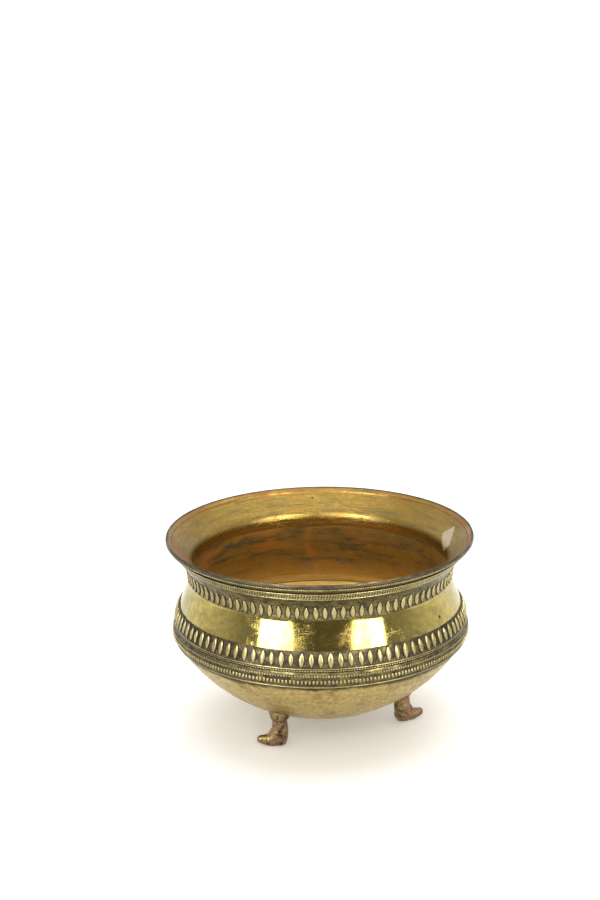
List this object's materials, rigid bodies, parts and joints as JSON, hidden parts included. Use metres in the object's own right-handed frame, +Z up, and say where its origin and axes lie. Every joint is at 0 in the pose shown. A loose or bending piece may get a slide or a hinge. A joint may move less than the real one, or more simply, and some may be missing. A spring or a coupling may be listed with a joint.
{
  "type": "footed brass bowl",
  "caption": "Round brass bowl with a full belly, drawn-in neck and wide flared mouth, ornamented bands and cast feet, for flowers, water or a plant.",
  "frame": {"origin": "on the bowl's axis, at the level of the soles", "axes": "+Z up along the bowl's axis, +X to the right and -Y to the front; the first foot stands at the front, towards -X"},
  "size_m": [0.32, 0.32, 0.2049],
  "materials": {
    "polished_brass": "polished and aged, with casting pits and rub marks",
    "hammered_brass": "planished, matt, mottled",
    "golden_brass": "scoured inside, golden brown, streaked round the axis",
    "aged_brass": "grey-olive patina in the recesses, bright on the edges",
    "worn_brass": "bright worn tops, dark edges",
    "solder": "dark, uneven brazing metal",
    "cast_brass": "rough casting, reddish brown, rubbed yellow on the toes"
  },
  "bodies": {
    "root": {"lower_bowl": "hammered_brass", "shoulder_wall": "polished_brass", "neck_flare": "golden_brass", "rim_binding": "aged_brass", "rim_bead_wire": "aged_brass", "neck_band": "aged_brass", "neck_top_wire": "aged_brass", "neck_upper_rope": "aged_brass", "neck_lower_rope": "aged_brass", "neck_lower_wire": "aged_brass", "neck_petals": "worn_brass", "belly_petal_band": "aged_brass", "belly_petals": "worn_brass", "belly_petal_wire": "aged_brass", "belly_beaded_rope": "aged_brass", "belly_bead_band": "aged_brass", "belly_fine_rope": "aged_brass", "belly_beads": "worn_brass", "belly_edge_wire": "aged_brass", "belly_solder_seam": "solder", "foot_front": "cast_brass", "foot_right": "cast_brass", "foot_rear": "cast_brass"}
  },
  "joints": []
}
